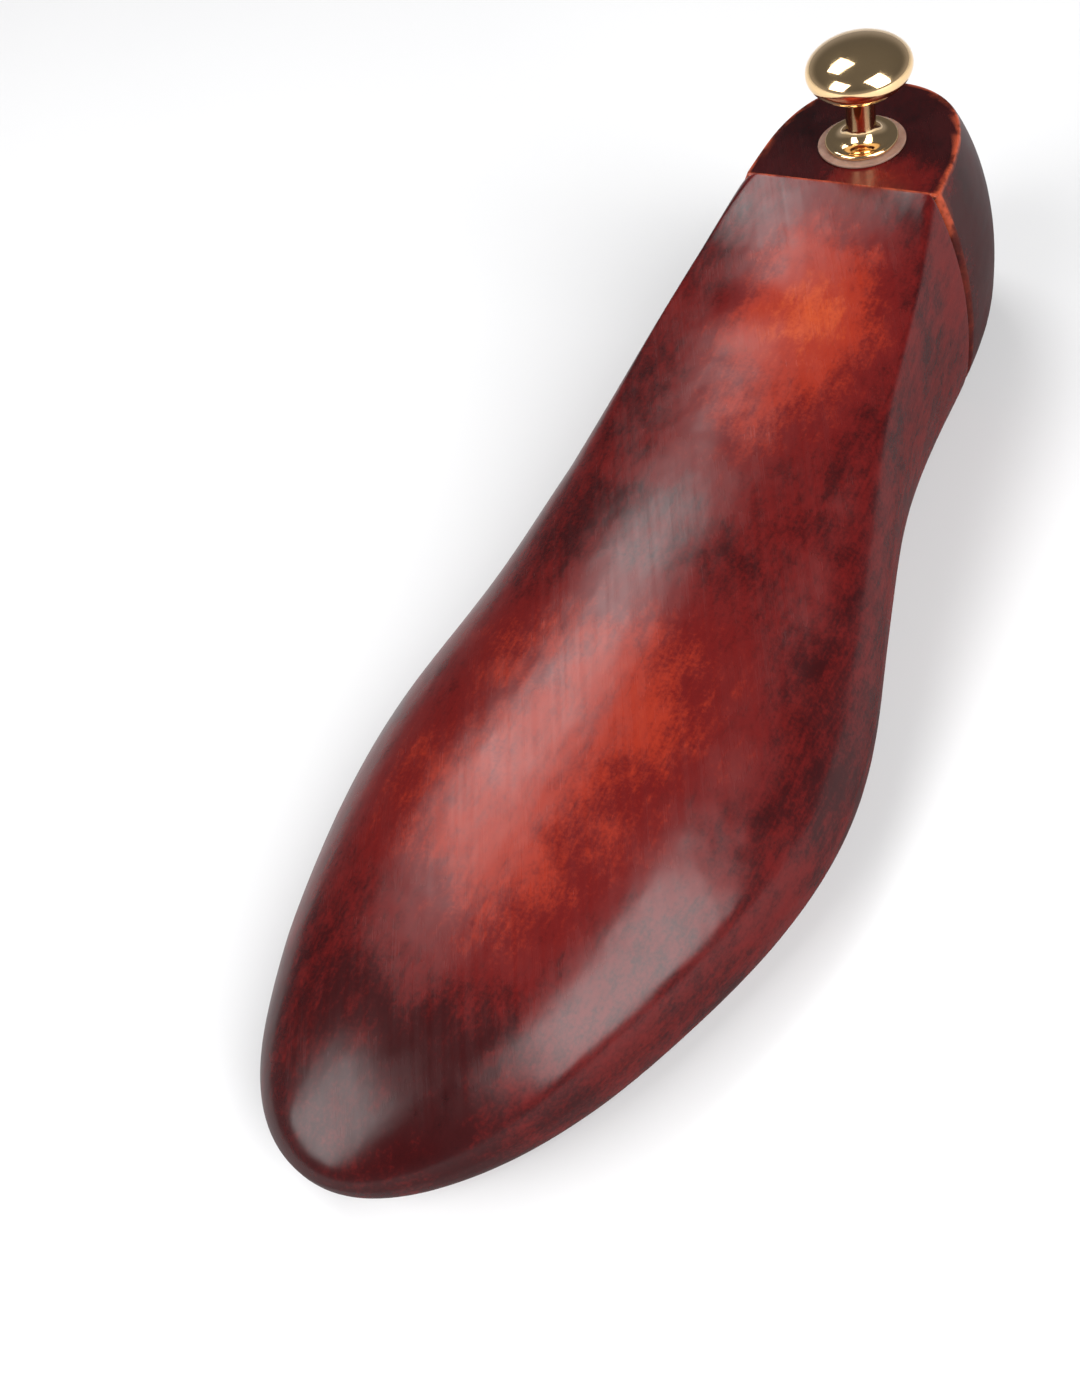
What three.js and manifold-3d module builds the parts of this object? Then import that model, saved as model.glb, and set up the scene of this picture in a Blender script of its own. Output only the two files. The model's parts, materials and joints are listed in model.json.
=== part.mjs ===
// Sprung two-part shoe tree for a left shoe, in millimetres.
// +X points to the toe, +Y to the outer side of the foot, +Z up.
// The origin lies on the resting plane, straight under the axis of the knob.
// A full-instep forepart and a heel block meet at a flat joint; two telescoping tubes with
// compression springs push the heel block back. A turned knob stands on the heel block.
import * as THREE from 'three';
import { mergeVertices } from 'three/addons/utils/BufferGeometryUtils.js';
import Module from 'manifold-3d';

const wasm = await Module();
wasm.setup();

// ---- driving dimensions ----

const fit = 0.15; // clearance between a round piece and its bore, on the radius
const joint = { x: 16, gap: 0.8 }; // flat joint between heel block and forepart
const heelTop = 58; // height of the flat top of the heel block
const ridge = { z: 60, slope: 0.235, ease: 0.00105, crown: 260, crownStart: 20 }; // planed instep facet
const spine = { back: 6, front: 210 }; // ribs run square to the spine, and fan out at its ends
const arch = { rise: 7, start: 28, end: 135, tilt: 0.4, halfWidth: 30 };
const soleStock = 1; // depth of stock below the resting plane, planed off flat
const ballX = 140;
const toeSpring = { rise: 12, power: 1.9, length: 108 };

const rods = { spacing: 26, z: 28, radius: 3.5, stub: 2, stubLength: 4 };
const tube = { outer: 5, inner: 4.4, inset: 0.7, length: 76 };
const travel = 20;
const headSpare = 0.5; // gap between head and bush when the springs are fully relaxed
const bush = { inset: 1.1, length: 8 };
const head = { length: 5.5, chamfer: 0.4, seat: 0.1 };
const plugLength = 6;
const flange = { radius: 7.5, thickness: 1.2 };
const collarLength = 7.5;
const rodEmbedded = 32; // length of rod sunk in the heel block
const pin = { radius: 1.5, x: -8, bottom: 1.2, above: 3 };
const spring = { wire: 0.5, radius: 3.45, turns: 8, steps: 10, wireSides: 5, endGap: 0.2 };

const washer = { radius: 9.8, thickness: 0.6, lift: 0.1 };
const knob = { foot: 8.2, rim: 1.2, neck: 3.3, neckBottom: 4.6, headRadius: 11.6, headZ: 17.8 };
const neckSpread = 0.9; // how far the neck widens where it meets the head
const headDepth = { below: 6, above: 5.8 };
const stud = { radius: 2.5, below: 13, above: 9, endGap: 0.5 };
const insert = { radius: 5, length: 18, rings: 3, groove: 0.6 };

const roundSegments = 20;
const knobSegments = 32;

// ---- outline of the last in plan, at its widest height, from the back of the heel round ----

const outline = [
  [-36, 0], [-32.5, 13.2], [-22.5, 23.6], [-6, 29.2], [16, 31], [42, 31.6], [70, 34.5],
  [100, 41], [128, 47.2], [150, 48.2], [172, 44.4], [195, 36.6], [215, 27.8], [231, 17.5],
  [243, 5], [248, -7.5], [245, -20], [235, -30], [218, -37.5], [198, -43.2], [178, -47],
  [158, -48.2], [138, -45.8], [112, -39], [84, -33], [56, -30.2], [30, -29.6], [6, -29.8],
  [-10, -28.2], [-23.6, -23], [-32.8, -13],
];

// ---- curves ----

// A smooth curve through points given as [position, value], without overshoot.
function profile(points) {
  const slope = points.map(() => 0);
  const chord = (i) => (points[i + 1][1] - points[i][1]) / (points[i + 1][0] - points[i][0]);
  for (let i = 1; i < points.length - 1; i += 1) {
    const before = chord(i - 1);
    const after = chord(i);
    slope[i] = before * after > 0 ? (2 * before * after) / (before + after) : 0;
  }
  slope[0] = chord(0);
  slope[points.length - 1] = chord(points.length - 2);
  return (x) => {
    const clamped = THREE.MathUtils.clamp(x, points[0][0], points.at(-1)[0]);
    let i = 0;
    while (i < points.length - 2 && clamped > points[i + 1][0]) {
      i += 1;
    }
    const span = points[i + 1][0] - points[i][0];
    const t = (clamped - points[i][0]) / span;
    const [a, b] = [points[i][1], points[i + 1][1]];
    const rest = 1 - t;
    return a * (1 + 2 * t) * rest * rest + slope[i] * span * t * rest * rest
      + b * t * t * (3 - 2 * t) - slope[i + 1] * span * t * t * rest;
  };
}

const crest = profile([[-40, 78], [24, 78], [60, 69], [95, 57.5], [125, 46.5], [157, 42], [185, 38.5],
  [210, 35.5], [235, 32], [250, 29]]);
const crestLine = profile([[-40, 0], [24, 0], [100, -4], [157, -9], [214, -10], [260, -9]]);
const widestHeight = profile([[-40, 18], [24, 20], [80, 24], [140, 14.5], [185, 15], [248, 20.5]]);
const lowerWidthPower = profile([[6, 5], [60, 4.2], [140, 4.6], [210, 4]]);
const lowerDepthPower = profile([[6, 3.4], [60, 3], [140, 3.6], [210, 3.2]]);
const upperWidthPower = profile([[6, 1.9], [24, 2], [60, 2.6], [110, 2.4], [140, 2.2], [210, 2.8]]);
const upperDepthPower = profile([[6, 1.9], [24, 1.9], [60, 2.2], [110, 1.95], [140, 1.8], [210, 2.2]]);

// Height of the sole before planing: heel, arch (higher on the inner side), tread, toe spring.
function soleHeight(x, y) {
  const along = THREE.MathUtils.clamp((x - arch.start) / (arch.end - arch.start), 0, 1);
  const innerSide = 1 - arch.tilt * (y / arch.halfWidth);
  const archHeight = arch.rise * Math.sin(Math.PI * along) ** 2 * innerSide;
  const past = Math.max(0, x - ballX) / toeSpring.length;
  return archHeight + toeSpring.rise * past ** toeSpring.power - soleStock;
}

// Height of the planed instep facet: falls away from the ridge, slightly hollow along it and
// crowned across it.
function facetHeight(x, y) {
  const along = Math.max(0, x - joint.x);
  const crown = (y * y / ridge.crown) * THREE.MathUtils.clamp(along / ridge.crownStart, 0, 1);
  return ridge.z - ridge.slope * along + ridge.ease * along * along - crown;
}

// ---- the last as one loft: ribs from the sole's centre line, round the rim, to the crest ----

const sideStations = 24;
const fanRibs = 14;
const lowerRows = 5;
const upperRows = 8;

const rimPoints = new THREE.CatmullRomCurve3(
  outline.map(([x, y]) => new THREE.Vector3(x, y, 0)), true, 'catmullrom', 0.5,
).getPoints(600);

// Width of the rim at a station, on the outer (+1) or inner (-1) side.
function rimAt(x, side) {
  for (let i = 1; i < rimPoints.length; i += 1) {
    const [a, b] = [rimPoints[i - 1], rimPoints[i]];
    if (a.y * side > 0 && (a.x - x) * (b.x - x) <= 0) {
      return THREE.MathUtils.lerp(a.y, b.y, (x - a.x) / (b.x - a.x || 1));
    }
  }
  throw new Error('no rim at ' + x);
}

// Rim point in a direction from one end of the spine.
function rimTowards(centre, angle) {
  const direction = new THREE.Vector2(Math.cos(angle), Math.sin(angle));
  let best = null;
  for (let i = 1; i < rimPoints.length; i += 1) {
    const a = new THREE.Vector2(rimPoints[i - 1].x, rimPoints[i - 1].y).sub(centre);
    const b = new THREE.Vector2(rimPoints[i].x, rimPoints[i].y).sub(centre);
    const [sideA, sideB] = [direction.cross(a), direction.cross(b)];
    if (sideA * sideB <= 0 && a.dot(direction) > 0 && sideA !== sideB) {
      best = a.lerp(b, sideA / (sideA - sideB)).add(centre);
    }
  }
  return best;
}

// Ribs in order round the rim: each has its foot on the spine and its end on the rim.
function makeRibs() {
  const ribs = [];
  const side = (from, to, sign) => {
    for (let i = 0; i <= sideStations; i += 1) {
      const x = THREE.MathUtils.lerp(from, to, i / sideStations);
      ribs.push({ foot: x, rim: new THREE.Vector2(x, rimAt(x, sign)) });
    }
  };
  const fan = (x, from) => {
    const centre = new THREE.Vector2(x, 0);
    for (let i = 1; i < fanRibs; i += 1) {
      ribs.push({ foot: x, rim: rimTowards(centre, from - (Math.PI * i) / fanRibs) });
    }
  };
  side(spine.back, spine.front, 1);
  fan(spine.front, Math.PI / 2);
  side(spine.front, spine.back, -1);
  fan(spine.back, -Math.PI / 2);
  return ribs;
}

function ribPoint(rib, row) {
  const lower = row < lowerRows;
  const turn = lower ? row / lowerRows : (row - lowerRows) / upperRows;
  const angle = (turn * Math.PI) / 2;
  const x0 = rib.foot;
  if (lower) {
    const out = Math.sin(angle) ** (2 / lowerWidthPower(x0));
    const down = Math.cos(angle) ** (2 / lowerDepthPower(x0));
    const x = x0 + out * (rib.rim.x - x0);
    const y = out * rib.rim.y;
    const rim = widestHeight(rib.rim.x);
    return [x, y, rim - (rim - soleHeight(x, y)) * down];
  }
  const out = Math.max(0, Math.cos(angle)) ** (2 / upperWidthPower(x0));
  const up = Math.sin(angle) ** (2 / upperDepthPower(x0));
  const x = x0 + out * (rib.rim.x - x0);
  const y = crestLine(x0) * (1 - out) + out * rib.rim.y;
  const rim = widestHeight(rib.rim.x);
  return [x, y, rim + (crest(x) - rim) * up];
}

// A closed surface from a wrapped grid of points; grid[column][row].
function gridSurface(grid) {
  const positions = grid.flat(2);
  const rows = grid[0].length;
  const index = [];
  for (let i = 0; i < grid.length; i += 1) {
    const next = (i + 1) % grid.length;
    for (let j = 0; j < rows - 1; j += 1) {
      const corners = [i * rows + j, next * rows + j, next * rows + j + 1, i * rows + j + 1];
      index.push(corners[0], corners[2], corners[1], corners[0], corners[3], corners[2]);
    }
  }
  const geometry = new THREE.BufferGeometry();
  geometry.setAttribute('position', new THREE.Float32BufferAttribute(positions, 3));
  geometry.setIndex(index);
  return geometry;
}

function lastLoft() {
  const rowCount = lowerRows + upperRows + 1;
  return gridSurface(makeRibs().map((rib) => Array.from({ length: rowCount }, (_, j) => ribPoint(rib, j))));
}

// A block whose underside follows the instep facet, for planing the last.
function planingBlock() {
  const size = { x0: joint.x - 10, x1: 135, y: 60, top: 110 };
  const [countX, countY] = [14, 14];
  const columns = [];
  for (let i = 0; i <= countX; i += 1) {
    const x = THREE.MathUtils.lerp(size.x0, size.x1, i / countX);
    const column = [];
    for (let j = 0; j <= countY; j += 1) {
      const y = THREE.MathUtils.lerp(-size.y, size.y, j / countY);
      column.push([x, y, facetHeight(x, y)]);
    }
    column.push([x, size.y, size.top], [x, -size.y, size.top], column[0]);
    columns.push(column);
  }
  const middle = (facetHeight(size.x0, 0) + size.top) / 2;
  const cap = (column) => column.map(() => [column[0][0], 0, middle]);
  return gridSurface([cap(columns[0]), ...columns, cap(columns.at(-1))]);
}

// ---- solids ----

function toSolid(geometry) {
  const plain = new THREE.BufferGeometry();
  plain.setAttribute('position', geometry.getAttribute('position'));
  plain.setIndex(geometry.index ?? [...Array(geometry.getAttribute('position').count).keys()]);
  const merged = mergeVertices(plain, 1e-4);
  const triangles = [];
  const index = merged.index.array;
  for (let i = 0; i < index.length; i += 3) {
    const [a, b, c] = [index[i], index[i + 1], index[i + 2]];
    if (a !== b && b !== c && a !== c) {
      triangles.push(a, b, c);
    }
  }
  const vertProperties = new Float32Array(merged.getAttribute('position').array);
  const triVerts = new Uint32Array(triangles);
  return new wasm.Manifold(new wasm.Mesh({ numProp: 3, vertProperties, triVerts }));
}

function toGeometry(manifold) {
  const mesh = manifold.getMesh();
  const geometry = new THREE.BufferGeometry();
  geometry.setAttribute('position', new THREE.BufferAttribute(mesh.vertProperties, 3));
  geometry.setIndex(new THREE.BufferAttribute(mesh.triVerts, 1));
  geometry.computeVertexNormals();
  return geometry;
}

function cut(solid, tools) {
  return tools.reduce((left, tool) => left.subtract(toSolid(tool)), solid);
}

// A turned piece: profile points are [radius, distance along the axis].
function turned(points, segments = roundSegments) {
  return new THREE.LatheGeometry(points.map(([r, h]) => new THREE.Vector2(r, h)), segments);
}

const alongX = (geometry) => geometry.rotateZ(-Math.PI / 2);
const alongZ = (geometry) => geometry.rotateX(Math.PI / 2);

function rodShape(radius, from, to) {
  return turned([[0, from], [radius, from], [radius, to], [0, to]]);
}

function ringShape(outer, inner, from, to) {
  return turned([[outer, from], [outer, to], [inner, to], [inner, from], [outer, from]]);
}

// A flanged ring; the flange lies at the end nearest zero.
function flangedRing(barrel, inner) {
  return turned([
    [flange.radius, 0], [flange.radius, flange.thickness], [barrel, flange.thickness],
    [barrel, collarLength], [inner, collarLength], [inner, 0], [flange.radius, 0],
  ]);
}

// ---- bores ----

const frontFace = joint.x + joint.gap / 2; // rear face of the forepart
const backFace = joint.x - joint.gap / 2; // front face of the heel block
const tubeStart = frontFace + tube.inset;
const tubeEnd = tubeStart + tube.length;
const bushStart = frontFace + bush.inset;
const sides = [{ name: 'left', y: rods.spacing / 2 }, { name: 'right', y: -rods.spacing / 2 }];
const ferruleBarrel = tube.outer + 1.4;
const collarBarrel = rods.radius + 2;
const pinTop = rods.z + rods.radius + pin.above;
const past = 5; // how far a cutting tool runs past the face it cuts

function forepartBores(y) {
  const place = (geometry) => alongX(geometry).translate(0, y, rods.z);
  return [
    place(rodShape(tube.outer + fit, frontFace - past, tubeEnd + fit)),
    place(rodShape(ferruleBarrel + fit, frontFace - past, frontFace + collarLength + fit)),
    place(rodShape(flange.radius + fit, frontFace - past, frontFace + flange.thickness + fit)),
  ];
}

function heelBores(y) {
  const place = (geometry) => alongX(geometry).translate(0, y, rods.z);
  const pinHole = alongZ(rodShape(pin.radius + fit, -past, pinTop + 1));
  return [
    place(rodShape(rods.radius + fit, backFace - rodEmbedded - fit, backFace + past)),
    place(rodShape(collarBarrel + fit, backFace - collarLength - fit, backFace + past)),
    place(rodShape(flange.radius + fit, backFace - flange.thickness - fit, backFace + past)),
    pinHole.translate(pin.x, y, 0),
  ];
}

// ---- wooden blocks ----

const floor = new THREE.BoxGeometry(400, 140, 20).translate(100, 0, -10);
const last = cut(toSolid(lastLoft()), [floor]);

function forepartBlock() {
  const behind = new THREE.BoxGeometry(120, 140, 200).translate(frontFace - 60, 0, 50);
  const tools = [behind, planingBlock(), ...sides.flatMap(({ y }) => forepartBores(y))];
  return toGeometry(cut(last, tools));
}

function heelBlock() {
  const ahead = new THREE.BoxGeometry(300, 140, 200).translate(backFace + 150, 0, 50);
  const above = new THREE.BoxGeometry(140, 140, 60).translate(0, 0, heelTop + 30);
  const seat = alongZ(rodShape(insert.radius + fit, heelTop - insert.length - fit, heelTop + past));
  return toGeometry(cut(last, [ahead, above, seat, ...sides.flatMap(({ y }) => heelBores(y))]));
}

// ---- slide units ----

const headStart = bushStart + bush.length + travel + headSpare;
const plugStart = tubeEnd - plugLength;

function plungerRod() {
  const end = headStart - backFace;
  const tip = end + rods.stubLength;
  const bar = turned([
    [0, -rodEmbedded], [rods.radius, -rodEmbedded], [rods.radius, end],
    [rods.stub, end], [rods.stub, tip], [0, tip],
  ]);
  const across = alongZ(rodShape(pin.radius + fit, -past, past)).translate(pin.x - backFace, 0, 0);
  return toGeometry(cut(toSolid(alongX(bar)), [across]));
}

function plungerHead() {
  const outer = tube.inner - fit;
  const inner = rods.stub + fit;
  return turned([
    [inner, head.seat], [outer - head.chamfer, head.seat], [outer, head.seat + head.chamfer],
    [outer, head.length - head.chamfer], [outer - head.chamfer, head.length], [0, head.length],
    [0, rods.stubLength + fit], [inner, rods.stubLength + fit], [inner, head.seat],
  ]);
}

class Helix extends THREE.Curve {
  constructor(radius, turns, length) {
    super();
    this.radius = radius;
    this.turns = turns;
    this.length = length;
  }

  getPoint(t, target = new THREE.Vector3()) {
    const angle = 2 * Math.PI * this.turns * t;
    return target.set(this.length * t, this.radius * Math.cos(angle), this.radius * Math.sin(angle));
  }
}

function springCoil(length) {
  const wire = new THREE.Shape();
  for (let i = 0; i < spring.wireSides; i += 1) {
    const angle = (2 * Math.PI * i) / spring.wireSides;
    const point = [spring.wire * Math.cos(angle), spring.wire * Math.sin(angle)];
    if (i === 0) {
      wire.moveTo(...point);
    } else {
      wire.lineTo(...point);
    }
  }
  const path = new Helix(spring.radius, spring.turns, length);
  return new THREE.ExtrudeGeometry(wire, { steps: spring.turns * spring.steps, extrudePath: path });
}

// ---- knob ----

function knobShape() {
  const points = [[0, stud.above], [stud.radius + fit, stud.above], [stud.radius + fit, 0]];
  const rimRadius = knob.rim / 2;
  const rimSteps = 4;
  for (let i = 0; i <= rimSteps; i += 1) {
    const angle = -Math.PI / 2 + (Math.PI * i) / rimSteps;
    points.push([
      knob.foot - rimRadius + rimRadius * Math.cos(angle),
      rimRadius + rimRadius * Math.sin(angle),
    ]);
  }
  const flareStart = knob.foot - 2 * rimRadius + 0.1;
  const flareSteps = 5;
  for (let i = 0; i <= flareSteps; i += 1) {
    const t = i / flareSteps;
    const radius = knob.neck + (flareStart - knob.neck) * (1 - Math.sin((t * Math.PI) / 2));
    const height = knob.rim + (knob.neckBottom - knob.rim) * (1 - Math.cos((t * Math.PI) / 2));
    points.push([radius, height]);
  }
  const joinAngle = Math.acos((knob.neck + neckSpread) / knob.headRadius);
  const neckTop = knob.headZ - headDepth.below * Math.sin(joinAngle) - neckSpread;
  points.push([knob.neck, neckTop]);
  const headSteps = 11;
  for (let i = 0; i <= headSteps; i += 1) {
    const angle = -joinAngle + ((joinAngle + Math.PI / 2) * i) / headSteps;
    const depth = angle < 0 ? headDepth.below : headDepth.above;
    const radius = i === headSteps ? 0 : knob.headRadius * Math.cos(angle);
    points.push([radius, knob.headZ + depth * Math.sin(angle)]);
  }
  return alongZ(turned(points, knobSegments));
}

function threadedStud() {
  return alongZ(rodShape(stud.radius, -stud.below, stud.above - stud.endGap));
}

// Insert for wood: rings outside stand for its coarse thread.
function threadedInsert() {
  const points = [[insert.radius, 0]];
  const pitch = insert.length / insert.rings;
  for (let i = 0; i < insert.rings; i += 1) {
    const top = -pitch * (i + 1);
    points.push([insert.radius, top + pitch * 0.55]);
    points.push([insert.radius - insert.groove, top + pitch * 0.35]);
    points.push([insert.radius - insert.groove, top + pitch * 0.2]);
    points.push([insert.radius, top]);
  }
  const inner = stud.radius + fit;
  points.push([inner, -insert.length], [inner, 0], [insert.radius, 0]);
  return alongZ(turned(points.reverse()));
}

// ---- materials ----

const standard = (color, roughness, metalness) => (
  new THREE.MeshStandardMaterial({ color, roughness, metalness })
);
const stainedWood = standard(0x8e3423, 0.3, 0);
const darkStainedWood = standard(0x4a1216, 0.3, 0);
const polishedBrass = standard(0xd9aa5c, 0.15, 1);
const paleFibre = standard(0xcbab92, 0.7, 0);
const nickelSteel = standard(0xbfc3c6, 0.25, 1);
const brightSteel = standard(0xa9adb1, 0.3, 1);
const springSteel = standard(0x83878c, 0.35, 1);
const nylon = standard(0xe9e5da, 0.5, 0);

// ---- assembly ----

const group = new THREE.Group();

function add(name, geometry, material, x = 0, y = 0, z = 0) {
  const mesh = new THREE.Mesh(geometry, material.clone());
  mesh.name = name;
  mesh.position.set(x, y, z);
  group.add(mesh);
}

add('forepart_block', forepartBlock(), stainedWood);
add('heel_block', heelBlock(), darkStainedWood);

const headEnd = headStart + head.length;
const springStart = headEnd + spring.wire + spring.endGap;
const springLength = plugStart - spring.wire - spring.endGap - springStart;

for (const { name, y } of sides) {
  add(`sleeve_tube_${name}`, alongX(ringShape(tube.outer, tube.inner, 0, tube.length)),
    nickelSteel, tubeStart, y, rods.z);
  add(`mouth_ferrule_${name}`, alongX(flangedRing(ferruleBarrel, tube.outer + fit)),
    nickelSteel, frontFace, y, rods.z);
  add(`guide_bush_${name}`, alongX(ringShape(tube.inner - fit, rods.radius + fit, 0, bush.length)),
    nylon, bushStart, y, rods.z);
  add(`end_plug_${name}`, alongX(rodShape(tube.inner - fit, 0, plugLength - fit)),
    nylon, plugStart, y, rods.z);
  add(`spring_${name}`, springCoil(springLength), springSteel, springStart, y, rods.z);
  add(`plunger_rod_${name}`, plungerRod(), brightSteel, backFace, y, rods.z);
  add(`plunger_head_${name}`, alongX(plungerHead()), brightSteel, headStart, y, rods.z);
  const collar = alongX(flangedRing(collarBarrel, rods.radius + fit)).rotateZ(Math.PI);
  add(`rod_collar_${name}`, collar, nickelSteel, backFace, y, rods.z);
  add(`cross_pin_${name}`, alongZ(rodShape(pin.radius, 0, pinTop - pin.bottom)), brightSteel,
    pin.x, y, pin.bottom);
}

const washerBottom = heelTop + washer.lift;
const knobBottom = washerBottom + washer.thickness + washer.lift;
add('knob_washer', alongZ(ringShape(washer.radius, stud.radius + fit, 0, washer.thickness)),
  paleFibre, 0, 0, washerBottom);
add('knob', knobShape(), polishedBrass, 0, 0, knobBottom);
add('knob_stud', threadedStud(), brightSteel, 0, 0, knobBottom);
add('knob_insert', threadedInsert(), polishedBrass, 0, 0, heelTop - 0.1);

export default group;
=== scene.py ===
import json
import math

import bmesh
import bpy
import numpy as np
from mathutils import Matrix, Vector


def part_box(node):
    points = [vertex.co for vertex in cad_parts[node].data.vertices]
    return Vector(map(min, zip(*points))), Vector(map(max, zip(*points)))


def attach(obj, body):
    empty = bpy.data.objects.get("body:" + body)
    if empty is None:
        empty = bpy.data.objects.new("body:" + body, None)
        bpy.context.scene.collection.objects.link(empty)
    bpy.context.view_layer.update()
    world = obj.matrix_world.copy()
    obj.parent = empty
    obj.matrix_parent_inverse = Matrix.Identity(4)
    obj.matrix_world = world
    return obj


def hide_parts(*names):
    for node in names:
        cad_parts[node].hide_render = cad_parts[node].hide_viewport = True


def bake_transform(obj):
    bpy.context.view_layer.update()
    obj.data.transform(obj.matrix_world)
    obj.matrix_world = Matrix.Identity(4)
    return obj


# Looks of a sprung two-part shoe tree: stained and polished wood, brass knob, steel slide units.
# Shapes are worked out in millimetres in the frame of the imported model, and scaled to metres.
# The tree lies along x with its toe at +x; +y is its outer side and +z is up.

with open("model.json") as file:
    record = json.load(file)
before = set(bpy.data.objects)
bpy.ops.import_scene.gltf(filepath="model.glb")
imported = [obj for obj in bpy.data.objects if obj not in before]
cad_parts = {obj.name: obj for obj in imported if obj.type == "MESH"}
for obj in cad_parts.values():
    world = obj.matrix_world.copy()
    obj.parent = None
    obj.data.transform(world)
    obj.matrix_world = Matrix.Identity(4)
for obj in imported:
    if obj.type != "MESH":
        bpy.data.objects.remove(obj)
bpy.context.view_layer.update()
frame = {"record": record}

MM = 0.001  # metres in a millimetre
MM_PER_M = 1000
ON_AXIS = 1e-6  # radius below which a turned profile's point lies on its axis
NOT_ZERO = 1e-9  # keeps a length that is divided by above zero
SHARP_ANGLE = math.radians(50)

# The body of each CAD node.
record = frame["record"]
bodies = record["behaviour"]["bodies"]
BODY_OF = {part: body for body in bodies for part in bodies[body]}


def box_mm(cad_node):
    """Lowest and highest corner of a CAD node, in millimetres."""
    low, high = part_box(cad_node)
    return np.array(low) / MM, np.array(high) / MM


# ---- sizes read from the frame ----

FORE_LOW, FORE_HIGH = box_mm("forepart_block")
HEEL_HIGH = box_mm("heel_block")[1]
FRONT_FACE = FORE_LOW[0]  # rear face of the forepart
BACK_FACE = HEEL_HIGH[0]  # front face of the heel block
JOINT_X = (FRONT_FACE + BACK_FACE) / 2
HEEL_TOP = HEEL_HIGH[2]
RIDGE_Z = FORE_HIGH[2]
SIDES = ("left", "right")

# ---- driving curves of the last, as (position along the tree, value) ----
# The spine is the line that every rib starts from. A rib runs from it over the sole to the rim, and
# back over the top to the crest. The powers are those of the superellipses that the ribs follow.

SPINE_BACK = 6.0
SPINE_FRONT = 210.0
CREST = [(-40, 78), (24, 78), (60, 69), (95, 57.5), (125, 46.5), (157, 42), (185, 38.5), (210, 35.5),
         (235, 32), (250, 29)]
CREST_LINE = [(-40, 0), (24, 0), (100, -4), (157, -9), (214, -10), (260, -9)]
WIDEST_HEIGHT = [(-40, 18), (24, 20), (80, 24), (140, 14.5), (185, 15), (248, 20.5)]
LOWER_WIDTH_POWER = [(6, 5), (60, 4.2), (140, 4.6), (210, 4)]
LOWER_DEPTH_POWER = [(6, 3.4), (60, 3), (140, 3.6), (210, 3.2)]
UPPER_WIDTH_POWER = [(6, 1.9), (24, 2), (60, 2.6), (110, 2.4), (140, 2.2), (210, 2.8)]
UPPER_DEPTH_POWER = [(6, 1.9), (24, 1.9), (60, 2.2), (110, 1.95), (140, 1.8), (210, 2.2)]

# The sole: an arch under the waist, flat at the ball, and rising towards the toe.
ARCH_RISE = 7.0
ARCH_START = 28.0
ARCH_END = 135.0
ARCH_TILT = 0.4  # share of the rise that is lost on the outer side, at half the heel's width
HALF_HEEL = 30.0
SOLE_STOCK = 1.0  # how far the curves run below the flat of the sole, which cuts them off
BALL_X = 140.0
TOE_RISE = 12.0
TOE_POWER = 1.9
TOE_LENGTH = 108.0

# The facet: the sloping face that runs down from the ridge at the joint.
RIDGE_SLOPE = 0.235
RIDGE_EASE = 0.00105
RIDGE_CROWN = 260.0  # twice the radius of the facet's crown
CROWN_START = 20.0  # length over which the facet goes from flat to crowned

# Rounding of the facet's edges, as heights over which two surfaces run into each other.
FACET_EASE = 0.8
CORNER_EASE = 2.0  # added at the ridge
CORNER_REACH = 6.0
INNER_EASE = 1.0  # added along the inner edge
INNER_CORNER_EASE = 2.4  # added on the inner edge at the ridge
OUTER_EASE = 1.4  # added along the outer edge, away from the ridge
EDGE_AT = 15.0  # distance from the middle at which a side's share is full
RUN_OUT_EASE = 9.0  # added where the facet runs out into the instep
RUN_OUT_START = 50.0
RUN_OUT_LENGTH = 45.0

# Plan outline at the widest height, from the back of the heel round by the outer side.
OUTLINE = [
    (-36, 0), (-32.5, 13.2), (-22.5, 23.6), (-6, 29.2), (16, 31), (42, 31.6), (70, 34.5),
    (100, 41), (128, 47.2), (150, 48.2), (172, 44.4), (195, 36.6), (215, 27.8), (231, 17.5),
    (243, 5), (248, -7.5), (245, -20), (235, -30), (218, -37.5), (198, -43.2), (178, -47),
    (158, -48.2), (138, -45.8), (112, -39), (84, -33), (56, -30.2), (30, -29.6), (6, -29.8),
    (-10, -28.2), (-23.6, -23), (-32.8, -13),
]


# ---- curves ----

CURVE_BLUR = 4.0  # millimetres over which curves and the outline are smoothed
STATION_STEP = 0.25
STATIONS = np.arange(-70, 290, STATION_STEP)
SPLINE_STEPS = 40  # points between two of the outline's points
RIM_COUNT = 1400  # points round the finished rim


def blurred(values, width, wrap=False):
    """Values smoothed by a Gaussian that is width samples wide."""
    reach = int(4 * width)  # further out the Gaussian is as good as nothing
    kernel = np.exp(-0.5 * (np.arange(-reach, reach + 1) / width) ** 2)
    padded = np.pad(values, reach, mode="wrap" if wrap else "edge")
    return np.convolve(padded, kernel / kernel.sum(), mode="valid")


def profile(points):
    """A smooth function of the position along the tree, through (position, value) points."""
    place, value = np.array(points, float).T
    chord = np.diff(value) / np.diff(place)
    slope = np.r_[chord[0], np.zeros(len(place) - 2), chord[-1]]
    before, after = chord[:-1], chord[1:]
    same = before * after > 0
    slope[1:-1][same] = 2 * before[same] * after[same] / (before + after)[same]
    clamped = np.clip(STATIONS, place[0], place[-1])
    i = np.clip(np.searchsorted(place, clamped) - 1, 0, len(place) - 2)
    span = place[i + 1] - place[i]
    t = (clamped - place[i]) / span
    rest = 1 - t
    table = value[i] * (1 + 2 * t) * rest ** 2 + slope[i] * span * t * rest ** 2
    table += value[i + 1] * t ** 2 * (3 - 2 * t) - slope[i + 1] * span * t ** 2 * rest
    table = blurred(table, CURVE_BLUR / STATION_STEP)
    return lambda x: np.interp(x, STATIONS, table)


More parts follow.
